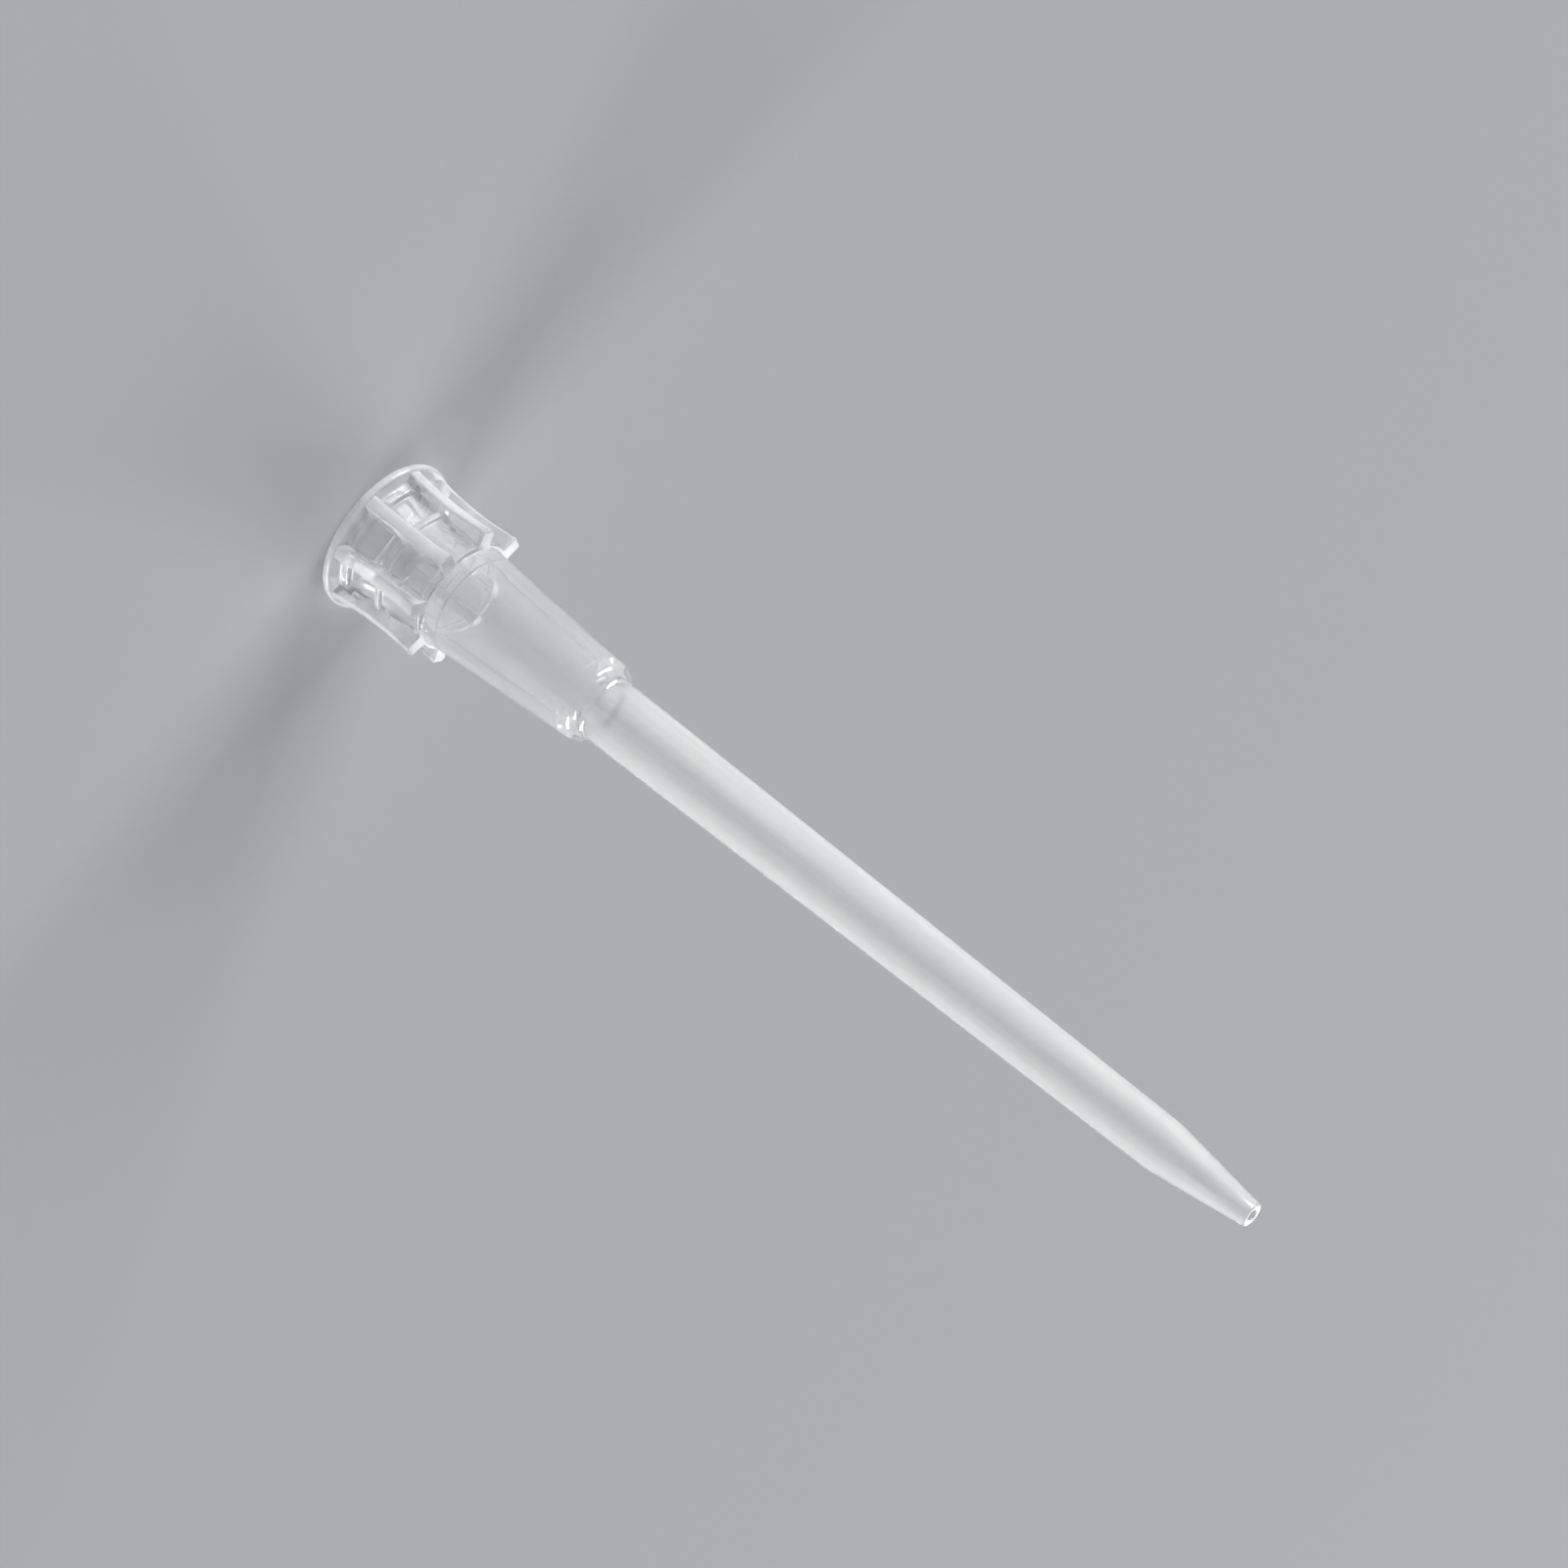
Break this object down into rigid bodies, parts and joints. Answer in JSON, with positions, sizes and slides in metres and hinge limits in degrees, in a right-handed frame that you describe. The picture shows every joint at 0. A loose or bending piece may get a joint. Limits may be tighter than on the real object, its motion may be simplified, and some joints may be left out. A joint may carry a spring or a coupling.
{
  "type": "pipette tip",
  "caption": "Slender clear pipette tip with a ribbed collar, round socket, stepped tapering body and fine point.",
  "frame": {"origin": "centre of the mouth rim, on the flat face that the tip stands on", "axes": "+Z along the axis from the mouth to the point; +X through the middle of one collar rib"},
  "size_m": [0.0046, 0.0046, 0.032],
  "materials": {
    "clear_polypropylene": "clear natural polypropylene, polished mould finish, slightly milky"
  },
  "bodies": {
    "root": {"tip_body": "clear_polypropylene"}
  },
  "joints": []
}
